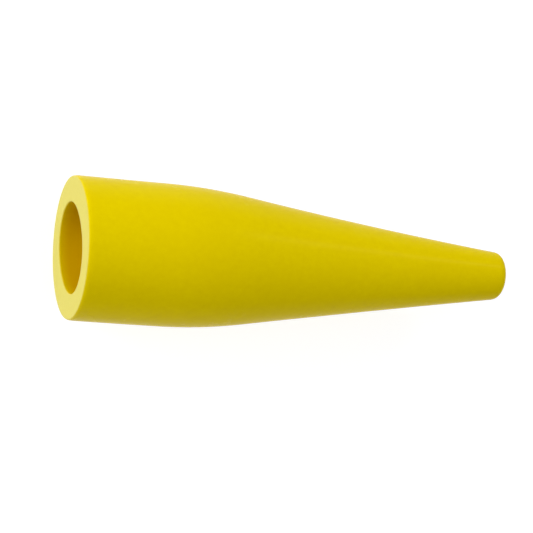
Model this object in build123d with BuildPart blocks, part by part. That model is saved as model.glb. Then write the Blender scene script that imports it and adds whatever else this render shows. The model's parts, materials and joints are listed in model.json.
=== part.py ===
from build123d import *
from math import radians, sin
import os

# Tapered in-line bobber float, in millimetres.
# Frame: the origin is the centre of the socket's mouth, in the wide end face.
# +X runs along the float's axis to its narrow tip, and +Z is up with the float on its side.

# --- float body: outer shape ---
body_length = 65.3  # wide end face to tip face
body_diameter = 20.0  # straight shoulder at the wide end
shoulder_length = 13.0  # straight part, before the taper begins
blend_radius = 78.5  # convex turn from the shoulder into the cone
cone_half_angle = 8.9  # degrees, where the cone begins
tip_half_angle = 7.1  # degrees, at the tip: the cone's side is very slightly hollow
mouth_edge_radius = 0.25  # outer edge of the wide end face
tip_edge_radius = 0.8  # edge of the tip face

# --- float body: socket in the wide end ---
socket_diameter = 12.7
socket_depth = 22.0
floor_edge_radius = 1.2  # between the socket's wall and its floor

# --- line tube: a hard liner from the socket floor to the tip ---
tube_outer_diameter = 3.0
tube_bore_diameter = 1.8
tube_recess = 0.4  # the tube ends this far inside the tip face
flange_diameter = 7.0
flange_thickness = 0.8
flange_edge_radius = 0.25
tube_edge_chamfer = 0.15

# --- worked out from the sizes above ---
body_radius = body_diameter / 2
socket_radius = socket_diameter / 2
tube_radius = tube_outer_diameter / 2
tube_bore_radius = tube_bore_diameter / 2
flange_radius = flange_diameter / 2
flange_seat_x = socket_depth - flange_thickness
tube_end_x = body_length - tube_recess

# The cone's side is one long arc that turns back from cone_half_angle to tip_half_angle.
cone_start_x = shoulder_length + blend_radius * sin(radians(cone_half_angle))
side_turn = sin(radians(cone_half_angle)) - sin(radians(tip_half_angle))
side_radius = (body_length - cone_start_x) / side_turn

os.makedirs("parts", exist_ok=True)

# --- float_body: one soft foam moulding, open at the wide end ---
with BuildPart() as float_body:
    with BuildSketch(Plane.XY) as outer_profile:
        with BuildLine():
            shoulder = Line((0, body_radius), (shoulder_length, body_radius))
            blend = JernArc(shoulder @ 1, shoulder % 1, blend_radius, -cone_half_angle)
            side = JernArc(blend @ 1, blend % 1, side_radius, cone_half_angle - tip_half_angle)
            Polyline(side @ 1, ((side @ 1).X, 0), (0, 0), (0, body_radius))
        make_face()
    revolve(axis=Axis.X)
    wide_rim = float_body.edges().filter_by(GeomType.CIRCLE).sort_by(Axis.X)[0]
    fillet(wide_rim, mouth_edge_radius)
    tip_rim = float_body.edges().filter_by(GeomType.CIRCLE).sort_by(Axis.X)[-1]
    fillet(tip_rim, tip_edge_radius)

    # socket, with a rounded floor
    with BuildSketch(Plane.XY) as socket_profile:
        Rectangle(socket_depth, socket_radius, align=(Align.MIN, Align.MIN))
        floor_corner = socket_profile.vertices().sort_by(Axis.X)[-2:].sort_by(Axis.Y)[-1]
        fillet(floor_corner, floor_edge_radius)
    revolve(axis=Axis.X, mode=Mode.SUBTRACT)

    # hole for the line tube, from the socket floor out through the tip
    with BuildSketch(Plane.YZ.offset(socket_depth - floor_edge_radius)):
        Circle(tube_radius)
    extrude(amount=body_length, mode=Mode.SUBTRACT)
float_body.part.label = "float_body"
export_step(float_body.part, "parts/float_body.step")

# --- line_tube: hard liner that the fishing line runs through ---
with BuildPart() as line_tube:
    with BuildSketch(Plane.YZ.offset(flange_seat_x)):
        Circle(flange_radius)
    extrude(amount=flange_thickness)
    flange_rim = line_tube.edges().filter_by(GeomType.CIRCLE).sort_by(Axis.X)[0]
    fillet(flange_rim, flange_edge_radius)
    with BuildSketch(Plane.YZ.offset(flange_seat_x)):
        Circle(tube_radius)
    extrude(amount=tube_end_x - flange_seat_x)
    with BuildSketch(Plane.YZ.offset(flange_seat_x)):
        Circle(tube_bore_radius)
    extrude(amount=tube_end_x - flange_seat_x, mode=Mode.SUBTRACT)
    bore_rims = line_tube.edges().filter_by(GeomType.CIRCLE).filter_by(
        lambda edge: abs(edge.radius - tube_bore_radius) < tube_edge_chamfer
    )
    chamfer(bore_rims, tube_edge_chamfer)
line_tube.part.label = "line_tube"
export_step(line_tube.part, "parts/line_tube.step")
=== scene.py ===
import json
from math import asin, cos, pi, radians, sin, tan

import bpy
from mathutils import Matrix, Vector, noise


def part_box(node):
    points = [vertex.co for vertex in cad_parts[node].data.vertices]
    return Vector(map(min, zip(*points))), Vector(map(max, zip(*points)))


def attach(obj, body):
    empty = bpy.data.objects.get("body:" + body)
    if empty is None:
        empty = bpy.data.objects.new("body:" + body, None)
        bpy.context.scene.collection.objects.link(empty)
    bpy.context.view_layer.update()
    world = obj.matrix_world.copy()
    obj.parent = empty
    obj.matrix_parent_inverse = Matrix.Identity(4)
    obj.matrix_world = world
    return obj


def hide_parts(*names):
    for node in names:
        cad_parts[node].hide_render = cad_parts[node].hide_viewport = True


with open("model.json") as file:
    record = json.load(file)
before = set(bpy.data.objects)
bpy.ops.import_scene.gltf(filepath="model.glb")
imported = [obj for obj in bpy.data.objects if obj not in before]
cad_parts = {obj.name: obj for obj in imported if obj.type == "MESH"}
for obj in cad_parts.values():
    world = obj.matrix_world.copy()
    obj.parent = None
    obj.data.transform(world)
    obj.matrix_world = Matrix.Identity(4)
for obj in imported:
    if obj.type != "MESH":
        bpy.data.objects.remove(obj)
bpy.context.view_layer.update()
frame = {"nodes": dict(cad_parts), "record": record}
MM = 0.001

# --- sizes in metres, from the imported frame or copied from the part's driving dimensions ---
body_low, body_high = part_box("float_body")
LENGTH = body_high.x - body_low.x
RADIUS = (body_high.z - body_low.z) / 2
mounts = {mount["name"]: mount for mount in frame["record"]["mounts"]}
SOCKET_RADIUS = mounts["socket"]["dims"]["r_mm"] * MM
tube_low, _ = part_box("line_tube")
FLANGE_THICKNESS = 0.8 * MM
SOCKET_DEPTH = tube_low.x + FLANGE_THICKNESS
TUBE_HOLE_RADIUS = 1.5 * MM
SHOULDER_LENGTH = 13.0 * MM
BLEND_RADIUS = 78.5 * MM
CONE_HALF_ANGLE = radians(8.9)
TIP_HALF_ANGLE = radians(7.1)
SOCKET_FLOOR_RADIUS = 1.2 * MM

# --- the skin's own edges in metres, fitted to the photo; the CAD's edges are a little different ---
MOUTH_EDGE_ACROSS = 0.18 * MM  # the mouth's soft outer edge is longer than it is deep
MOUTH_EDGE_ALONG = 0.75 * MM
SOCKET_EDGE_RADIUS = 0.18 * MM
TIP_EDGE_RADIUS = 1.2 * MM
HOLE_EDGE_RADIUS = 0.1 * MM  # not in the photo

# --- how finely the body is turned ---
SEGMENTS = 256  # round the axis
FACE_STEPS = 14
HOLE_STEPS = 60
MOUTH_EDGE_STEPS = 12
MOUTH_EDGE_FADE = 5  # of those steps, how many the trimmed face's paler colour and painted sheen take to run out

# --- small departures from the drawing, fitted to the photo, which may itself be bent or cropped ---
BOW = 0.25 * MM  # sag of the middle, sideways
MOUTH_SKEW = radians(1.2)  # the mouth is this far off square; a cropped photo could look the same
SKEW_REACH = 8.0 * MM  # the skew dies out this far from the mouth
MOUTH_OVAL = 0.075  # the socket's mouth is pulled this far out of round, as a share of its radius
OVAL_ANGLE = radians(130)  # its long way, from +Y towards +Z
OVAL_REACH = 10.0 * MM  # the socket is round again this deep
LIP_FADE = 1.4 * MM  # the skin's colour runs this far into the socket, fading into the painted shade of the socket wall
RIPPLE = 0.012 * MM  # soft unevenness of the skin
RIPPLE_LENGTH = 7.0 * MM


# --- the body's half outline: corners and arcs, sampled finely ---
def arc(centre, radius, start, end, steps):
    """Points on an arc from angle start to angle end, both included."""
    turn = (end - start) / steps
    return [
        (centre[0] + radius * cos(start + turn * i), centre[1] + radius * sin(start + turn * i))
        for i in range(steps + 1)
    ]


def run(first, last, steps):
    """Points along a straight run, without its two ends."""
    return [
        (
            first[0] + (last[0] - first[0]) * i / steps,
            first[1] + (last[1] - first[1]) * i / steps,
        )
        for i in range(1, steps)
    ]


def inside_outline():
    """(x, r) points of the socket: its floor from the line hole, its rounded corner and its wall."""
    corner = SOCKET_FLOOR_RADIUS
    outline = [(SOCKET_DEPTH, TUBE_HOLE_RADIUS)]
    outline += run(outline[-1], (SOCKET_DEPTH, SOCKET_RADIUS - corner), 8)
    outline += arc((SOCKET_DEPTH - corner, SOCKET_RADIUS - corner), corner, 0, pi / 2, 12)
    edge = SOCKET_EDGE_RADIUS
    outline += run(outline[-1], (edge, SOCKET_RADIUS), 60)
    outline += arc((edge, SOCKET_RADIUS + edge), edge, -pi / 2, -pi, 6)
    return outline


def outside_outline():
    """(x, r) points of the mouth's edge, the shoulder, the blend, the cone and the tip's face."""
    cone_start = SHOULDER_LENGTH + BLEND_RADIUS * sin(CONE_HALF_ANGLE)
    cone_radius = RADIUS - BLEND_RADIUS * (1 - cos(CONE_HALF_ANGLE))
    side_radius = (LENGTH - cone_start) / (sin(CONE_HALF_ANGLE) - sin(TIP_HALF_ANGLE))
    side_centre = (
        cone_start + side_radius * sin(CONE_HALF_ANGLE),
        cone_radius + side_radius * cos(CONE_HALF_ANGLE),
    )
    # the tip's rounded edge is a circle that touches the tip's face and the side
    edge_x = LENGTH - TIP_EDGE_RADIUS
    edge_side = asin((side_centre[0] - edge_x) / (side_radius + TIP_EDGE_RADIUS))
    edge_r = side_centre[1] - (side_radius + TIP_EDGE_RADIUS) * cos(edge_side)

    outline = [
        (MOUTH_EDGE_ALONG * (1 - x), RADIUS - MOUTH_EDGE_ACROSS * (1 - r))
        for x, r in arc((0, 0), 1, 0, pi / 2, MOUTH_EDGE_STEPS)
    ]
    outline += run(outline[-1], (SHOULDER_LENGTH, RADIUS), 36)
    blend_centre = (SHOULDER_LENGTH, RADIUS - BLEND_RADIUS)
    outline += arc(blend_centre, BLEND_RADIUS, pi / 2, pi / 2 - CONE_HALF_ANGLE, 44)
    side_start, side_end = -pi / 2 - CONE_HALF_ANGLE, -pi / 2 - edge_side
    outline += arc(side_centre, side_radius, side_start, side_end, 120)[1:]
    outline += arc((edge_x, edge_r), TIP_EDGE_RADIUS, pi / 2 - edge_side, 0, 12)[1:]
    edge = HOLE_EDGE_RADIUS
    outline += run(outline[-1], (LENGTH, TUBE_HOLE_RADIUS + edge), 6)
    outline += arc((LENGTH - edge, TUBE_HOLE_RADIUS + edge), edge, 0, -pi / 2, 4)
    return outline


def fade(distance, reach):
    """1 at no distance, falling in a straight line to 0 at the reach."""
    return max(0.0, 1 - distance / reach)


def body_section():
    """The section, row by row: x, r, cut face, painted shade of the bore walls, share of the mouth's
    oval, on the skin.
    """
    inside, outside = inside_outline(), outside_outline()
    face = run(inside[-1], outside[0], FACE_STEPS)
    hole = run(outside[-1], inside[0], HOLE_STEPS)
    # socket rows: painted shade on the socket wall, full from LIP_FADE inwards
    section = [
        (x, r, fade(x, SOCKET_EDGE_RADIUS), min(1.0, x / LIP_FADE), fade(x, OVAL_REACH), False)
        for x, r in inside
    ]
    section += [(x, r, 1.0, 0.0, (RADIUS - r) / (RADIUS - SOCKET_RADIUS), False) for x, r in face]
    # the trimmed face's paler colour, partly painted sheen, runs onto the mouth's rounded edge
    section += [(x, r, fade(i, MOUTH_EDGE_FADE), 0.0, 0.0, True) for i, (x, r) in enumerate(outside)]
    # the line hole through the tip takes the socket's painted shade
    section += [(x, r, 0.0, 1.0, 0.0, False) for x, r in hole]
    return section


def body_skin():
    """The foam body: its section turned about the X axis, bowed, with a mouth askew and out of round."""
    section = body_section()
    verts, faces, cut, inner_shade = [], [], [], []
    for x, r, is_cut, is_inner_shade, oval, on_skin in section:
        along = x / LENGTH
        bow = 4 * BOW * along * (1 - along) if on_skin else 0.0
        skew = tan(MOUTH_SKEW) * fade(x, SKEW_REACH)
        for i in range(SEGMENTS):
            angle = 2 * pi * i / SEGMENTS
            stretched = r * (1 + oval * MOUTH_OVAL * cos(2 * (angle - OVAL_ANGLE)))
            y, z = stretched * cos(angle), stretched * sin(angle)
            if on_skin:
                swell = 1 + RIPPLE / RADIUS * noise.noise(Vector((x, y, z)) / RIPPLE_LENGTH)
                y, z = y * swell, z * swell
            verts.append((x - skew * y, y - bow, z))
            cut.append(is_cut)
            inner_shade.append(is_inner_shade)
    for row in range(len(section)):
        here = row * SEGMENTS
        following = (row + 1) % len(section) * SEGMENTS
        for i in range(SEGMENTS):
            j = (i + 1) % SEGMENTS
            faces.append((here + i, following + i, following + j, here + j))
    mesh = bpy.data.meshes.new("float_body_skin")
    mesh.from_pydata(verts, [], faces)
    for name, values in (("cut_face", cut), ("inner_wall_shaded", inner_shade)):
        mesh.attributes.new(name, "FLOAT", "POINT").data.foreach_set("value", values)
    for polygon in mesh.polygons:
        polygon.use_smooth = True
    piece = bpy.data.objects.new("float_body_skin", mesh)
    bpy.context.scene.collection.objects.link(piece)
    return piece


# --- materials ---
class Graph:
    """A material's node tree, with short calls for the nodes that these materials use."""

    def __init__(self, name):
        self.material = bpy.data.materials.new(name)
        self.material.use_nodes = True
        self.nodes = self.material.node_tree.nodes
        self.links = self.material.node_tree.links
        self.shader = self.nodes["Principled BSDF"]
        self.place = self.nodes.new("ShaderNodeTexCoord").outputs["Object"]

    def add(self, kind, inputs=(), **settings):
        node = self.nodes.new(kind)
        for setting, value in settings.items():
            setattr(node, setting, value)
        for socket, value in dict(inputs).items():
            if isinstance(value, bpy.types.NodeSocket):
                self.links.new(value, node.inputs[socket])
            else:
                node.inputs[socket].default_value = value
        return node

    def noise(self, size, detail=2.0, rough=0.5, stretch=(1, 1, 1)):
        """Noise whose features are about size metres across."""
        placed = self.add("ShaderNodeMapping", {"Vector": self.place, "Scale": stretch})
        inputs = {"Vector": placed.outputs[0], "Scale": 1 / size, "Detail": detail, "Roughness": rough}
        return self.add("ShaderNodeTexNoise", inputs).outputs["Fac"]

    def cells(self, size):
        """Distance to the nearest of scattered points, about size metres apart, in units of size."""
        inputs = {"Vector": self.place, "Scale": 1 / size}
        return self.add("ShaderNodeTexVoronoi", inputs).outputs["Distance"]

    def ramp(self, value, low, high, to_low=0.0, to_high=1.0):
        inputs = {0: value, 1: low, 2: high, 3: to_low, 4: to_high}
        return self.add("ShaderNodeMapRange", inputs).outputs[0]

    def maths(self, operation, first, second):
        return self.add("ShaderNodeMath", {0: first, 1: second}, operation=operation).outputs[0]

    def mix(self, factor, first, second):
        node = self.add("ShaderNodeMix", {"Factor": factor}, data_type="RGBA")
        for socket, value in ((node.inputs[6], first), (node.inputs[7], second)):
            if isinstance(value, bpy.types.NodeSocket):
                self.links.new(value, socket)
            else:
                socket.default_value = (*value, 1)
        return node.outputs[2]

    def bump(self, height, depth, below=None):
        inputs = {"Height": height, "Distance": depth, "Strength": 1.0}
        if below is not None:
            inputs["Normal"] = below
        return self.add("ShaderNodeBump", inputs).outputs[0]

    def attribute(self, name):
        return self.add("ShaderNodeAttribute", attribute_name=name).outputs["Fac"]

    def into(self, socket, value):
        self.links.new(value, self.shader.inputs[socket])


# linear colours of the foam
SKIN_YELLOW = (0.812, 0.623, 0.0)
SKIN_PALER = (0.828, 0.645, 0.0)
SKIN_DEEPER = (0.78, 0.588, 0.0)
SKIN_SPECK = (0.50, 0.35, 0.0)
# painted shade: the socket wall is the same foam, darkened and turned orange for the shade inside the
# socket
SOCKET_WALL_SHADE = (0.705, 0.435, 0.0)
# the trimmed face: paler cut foam, whitened further by a painted sheen of the white floor at a grazing
# angle
TRIMMED_PALE_AND_SHEEN = (0.619, 0.545, 0.110)
TRIMMED_PORE = (0.573, 0.492, 0.073)
TRIMMED_MOTTLE = (0.600, 0.526, 0.098)


def foam_material():
    """Closed-cell foam with a satin moulded skin; its cut mouth is paler and duller, partly by a painted
    sheen, and its socket wall has painted shade.
    """
    g = Graph("yellow_foam_skin")
    cut = g.attribute("cut_face")
    inner_shade = g.attribute("inner_wall_shaded")

    drift = g.noise(14 * MM, detail=1.0)
    mottle = g.noise(0.9 * MM, detail=3.0, rough=0.6)
    skin = g.mix(g.ramp(drift, 0.35, 0.65), SKIN_YELLOW, SKIN_PALER)
    skin = g.mix(g.ramp(mottle, 0.3, 0.7, 0.0, 0.7), skin, SKIN_DEEPER)
    speck = g.ramp(g.cells(5.5 * MM), 0.012, 0.03, 0.25, 0.0)
    skin = g.mix(speck, skin, SKIN_SPECK)
    pores = g.cells(0.35 * MM)
    # the trimmed face's colour: paler cut foam with painted sheen, and darker pores and mottle
    trimmed_and_sheen = g.mix(g.ramp(pores, 0.15, 0.5, 0.25, 0.0), TRIMMED_PALE_AND_SHEEN, TRIMMED_PORE)
    trimmed_and_sheen = g.mix(g.ramp(mottle, 0.35, 0.65, 0.0, 0.4), trimmed_and_sheen, TRIMMED_MOTTLE)
    # painted shade inside the socket and the line hole
    skin = g.mix(inner_shade, skin, SOCKET_WALL_SHADE)
    g.into("Base Color", g.mix(cut, skin, trimmed_and_sheen))

    sheen_drift = g.noise(3.5 * MM, detail=3.0)
    gloss = g.ramp(sheen_drift, 0.3, 0.7, 0.25, 0.28)
    dull = g.maths("MULTIPLY", g.maths("MAXIMUM", cut, inner_shade), 0.12)
    g.into("Roughness", g.maths("ADD", gloss, dull))

    peel = g.bump(g.noise(0.55 * MM, detail=2.0), 0.002 * MM)
    grain = g.bump(g.noise(0.12 * MM, detail=2.0), 0.0006 * MM, peel)
    pits = g.maths("MULTIPLY", g.ramp(pores, 0.1, 0.6), cut)
    g.into("Normal", g.bump(pits, 0.012 * MM, grain))

    g.shader.inputs["IOR"].default_value = 1.45
    g.shader.inputs["Specular IOR Level"].default_value = 0.02
    g.shader.inputs["Specular Tint"].default_value = (1.0, 0.8, 0.02, 1)
    return g.material


def liner_material():
    """Smooth off-white extruded plastic, with fine lines drawn along it."""
    g = Graph("liner_plastic")
    lines = g.noise(0.25 * MM, detail=2.0, stretch=(0.04, 1, 1))
    cloud = g.noise(2.0 * MM)
    g.into("Base Color", g.mix(g.ramp(cloud, 0.3, 0.7), (0.80, 0.79, 0.73), (0.86, 0.855, 0.81)))
    g.into("Roughness", g.ramp(lines, 0.3, 0.7, 0.22, 0.36))
    g.into("Normal", g.bump(lines, 0.003 * MM))
    return g.material


FLOOR_WHITE = 0.3
FLOOR_GLOW = 0.84  # the floor's own light, which makes it plain white and its shadows faint


def floor_material():
    """A plain, faintly uneven white ground."""
    g = Graph("studio_white")
    g.into("Roughness", g.ramp(g.noise(0.05), 0.3, 0.7, 0.75, 0.85))
    g.shader.inputs["Base Color"].default_value = (FLOOR_WHITE, FLOOR_WHITE, FLOOR_WHITE, 1)
    g.shader.inputs["Emission Color"].default_value = (0.97, 0.975, 1.0, 1)
    g.shader.inputs["Emission Strength"].default_value = FLOOR_GLOW
    return g.material


body = body_skin()
body.data.materials.append(foam_material())
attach(body, "root")
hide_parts("float_body")

liner = frame["nodes"]["line_tube"]
liner.data.materials.clear()
liner.data.materials.append(liner_material())

# --- floor ---
FLOOR_HALF = 3.0
# the floor touches the skin's lowest point
floor_z = min(vertex.co.z for vertex in body.data.vertices)
floor_mesh = bpy.data.meshes.new("floor")
floor_mesh.from_pydata(
    [(x * FLOOR_HALF, y * FLOOR_HALF, floor_z) for x, y in ((-1, -1), (1, -1), (1, 1), (-1, 1))],
    [],
    [(0, 1, 2, 3)],
)
floor = bpy.data.objects.new("floor", floor_mesh)
bpy.context.scene.collection.objects.link(floor)
floor_mesh.materials.append(floor_material())

# --- camera: turned towards the wide end, rolled a little, then raised about the float's axis ---
VIEW_TURN = radians(19.91)
VIEW_ROLL = radians(3.77)
VIEW_RAISE = radians(90.0)
CAMERA_DISTANCE = 0.28425
FOCAL_LENGTH = 135.1
SENSOR_WIDTH = 36.0
TARGET_ALONG = 28.72 * MM
TARGET_BELOW = 0.82 * MM

camera_data = bpy.data.cameras.new("camera")
camera = bpy.data.objects.new("camera", camera_data)
bpy.context.scene.collection.objects.link(camera)
camera_data.lens = FOCAL_LENGTH
camera_data.sensor_width = SENSOR_WIDTH
camera_data.clip_start = 0.01
camera_data.clip_end = 20
bpy.context.scene.camera = camera

level = Matrix.Rotation(pi / 2, 4, "X")  # looks along +Y with +Z up
turned = Matrix.Rotation(-VIEW_TURN, 4, "Z") @ level
rolled = turned @ Matrix.Rotation(VIEW_ROLL, 4, "Z")
raised = Matrix.Rotation(-VIEW_RAISE, 4, "X") @ rolled
target = Vector((TARGET_ALONG, 0, 0)) - TARGET_BELOW * (raised.to_3x3() @ Vector((0, 1, 0)))
back = raised.to_3x3() @ Vector((0, 0, 1))
camera.matrix_world = Matrix.Translation(target + CAMERA_DISTANCE * back) @ raised

# --- light ---
LIGHT_CENTRE = Vector((30 * MM, 0, 0))


def studio_light(name, azimuth, elevation, strength, size=0.7, distance=0.9):
    """A round softbox. At the usual size it lights a facing white surface to 0.87 of its strength."""
    data = bpy.data.lights.new(name, "AREA")
    data.shape = "DISK"
    data.size = size
    data.energy = strength * (pi * distance) ** 2
    light = bpy.data.objects.new(name, data)
    bpy.context.scene.collection.objects.link(light)
    a, e = radians(azimuth), radians(elevation)
    towards = Vector((cos(a) * cos(e), sin(a) * cos(e), sin(e)))
    light.location = LIGHT_CENTRE + distance * towards
    light.rotation_euler = towards.to_track_quat("Z", "Y").to_euler()
    return light


def strip_light(name, azimuth, elevation, strength, length, width, distance=0.9):
    """A narrow softbox whose long side runs along the float."""
    light = studio_light(name, azimuth, elevation, strength, distance=distance)
    light.data.shape = "RECTANGLE"
    light.data.size, light.data.size_y = length, width
    towards = (light.location - LIGHT_CENTRE).normalized()
    across = towards.cross(Vector((1, 0, 0))).normalized()
    along = across.cross(towards)
    light.rotation_euler = Matrix((along, across, towards)).transposed().to_euler()


# name, azimuth and elevation in degrees, strength
studio_light("key", 148, 34, 0.186)
studio_light("key_low", 165, 20, 0.781)
studio_light("top", 0, 70, 0.245)
studio_light("fill", 285, 60, 0.108)
strip_light("strip", 44, 29.5, 0.20, 0.19, 0.05)

WORLD_GLOW = 0.113
world = bpy.data.worlds.new("studio")
bpy.context.scene.world = world
world.use_nodes = True
world.node_tree.nodes["Background"].inputs["Color"].default_value = (1, 1, 1, 1)
world.node_tree.nodes["Background"].inputs["Strength"].default_value = WORLD_GLOW

bpy.context.scene.view_settings.view_transform = "Standard"
